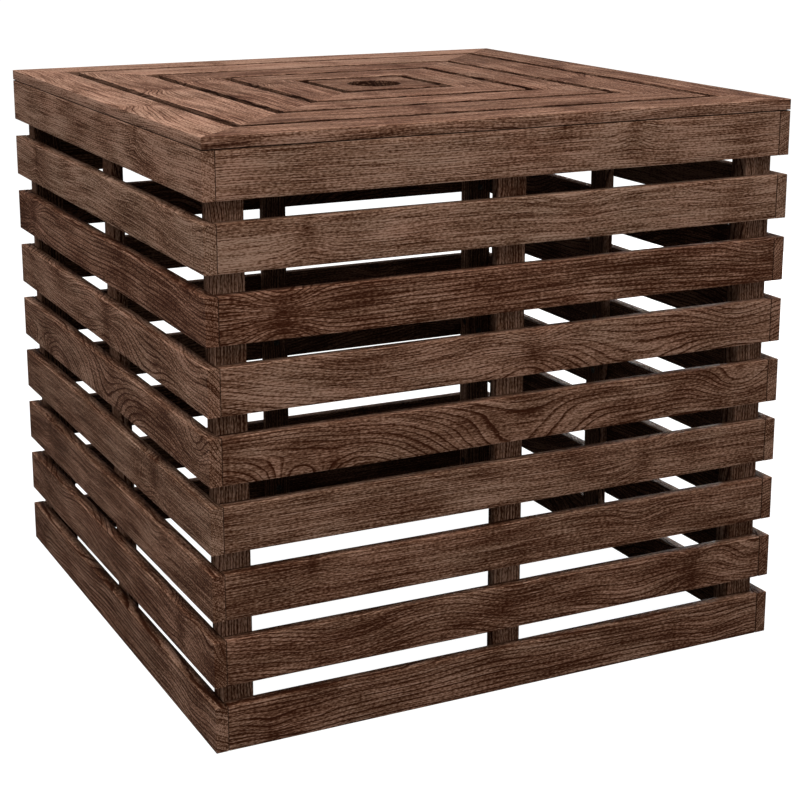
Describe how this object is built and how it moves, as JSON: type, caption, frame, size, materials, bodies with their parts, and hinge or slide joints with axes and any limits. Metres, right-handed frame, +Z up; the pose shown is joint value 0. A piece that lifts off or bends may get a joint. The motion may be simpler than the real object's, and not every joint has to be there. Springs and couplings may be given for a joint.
{
  "type": "umbrella stand",
  "caption": "Square slatted wooden box, open below, that hides an umbrella's weighted foot, with a flat lift-off lid of mitred rings of boards around a round pole hole.",
  "frame": {"origin": "on the ground, under the middle of the square box", "axes": "+Z up through the pole hole; -Y is the front, whose slats fit between the left (-X) and right (+X) slats"},
  "size_m": [0.559, 0.559, 0.5105],
  "materials": {
    "slat_wood": "dark brown stained softwood, satin, open grain",
    "post_wood": "dark brown stained softwood, rougher sawn",
    "lid_wood": "reddish brown stained softwood, satin",
    "batten_wood": "dark brown stained softwood, sawn",
    "screw_steel": "yellow-passivated countersunk wood screws"
  },
  "bodies": {
    "box": {"back_slat_1": "slat_wood", "back_slat_2": "slat_wood", "back_slat_3": "slat_wood", "back_slat_4": "slat_wood", "back_slat_5": "slat_wood", "back_slat_6": "slat_wood", "back_slat_7": "slat_wood", "back_slat_8": "slat_wood", "back_slat_9": "slat_wood", "corner_post_back_left": "post_wood", "corner_post_back_right": "post_wood", "corner_post_front_left": "post_wood", "corner_post_front_right": "post_wood", "corner_screws_front_back": "screw_steel", "corner_screws_left_right": "screw_steel", "front_slat_1": "slat_wood", "front_slat_2": "slat_wood", "front_slat_3": "slat_wood", "front_slat_4": "slat_wood", "front_slat_5": "slat_wood", "front_slat_6": "slat_wood", "front_slat_7": "slat_wood", "front_slat_8": "slat_wood", "front_slat_9": "slat_wood", "left_slat_1": "slat_wood", "left_slat_2": "slat_wood", "left_slat_3": "slat_wood", "left_slat_4": "slat_wood", "left_slat_5": "slat_wood", "left_slat_6": "slat_wood", "left_slat_7": "slat_wood", "left_slat_8": "slat_wood", "left_slat_9": "slat_wood", "mid_post_back": "post_wood", "mid_post_front": "post_wood", "mid_post_left": "post_wood", "mid_post_right": "post_wood", "mid_post_screws": "screw_steel", "right_slat_1": "slat_wood", "right_slat_2": "slat_wood", "right_slat_3": "slat_wood", "right_slat_4": "slat_wood", "right_slat_5": "slat_wood", "right_slat_6": "slat_wood", "right_slat_7": "slat_wood", "right_slat_8": "slat_wood", "right_slat_9": "slat_wood"},
    "lid": {"lid_battens": "batten_wood", "lid_centre_board": "lid_wood", "lid_ring_1_back": "lid_wood", "lid_ring_1_front": "lid_wood", "lid_ring_1_left": "lid_wood", "lid_ring_1_right": "lid_wood", "lid_ring_2_back": "lid_wood", "lid_ring_2_front": "lid_wood", "lid_ring_2_left": "lid_wood", "lid_ring_2_right": "lid_wood", "lid_ring_3_boards": "lid_wood", "lid_ring_4_boards": "lid_wood", "lid_screws": "screw_steel"}
  },
  "joints": [
    {"name": "lid_lift", "type": "slide", "parent": "box", "child": "lid", "axis": [0, 0, 1], "range_m": [0, 0.04]}
  ]
}
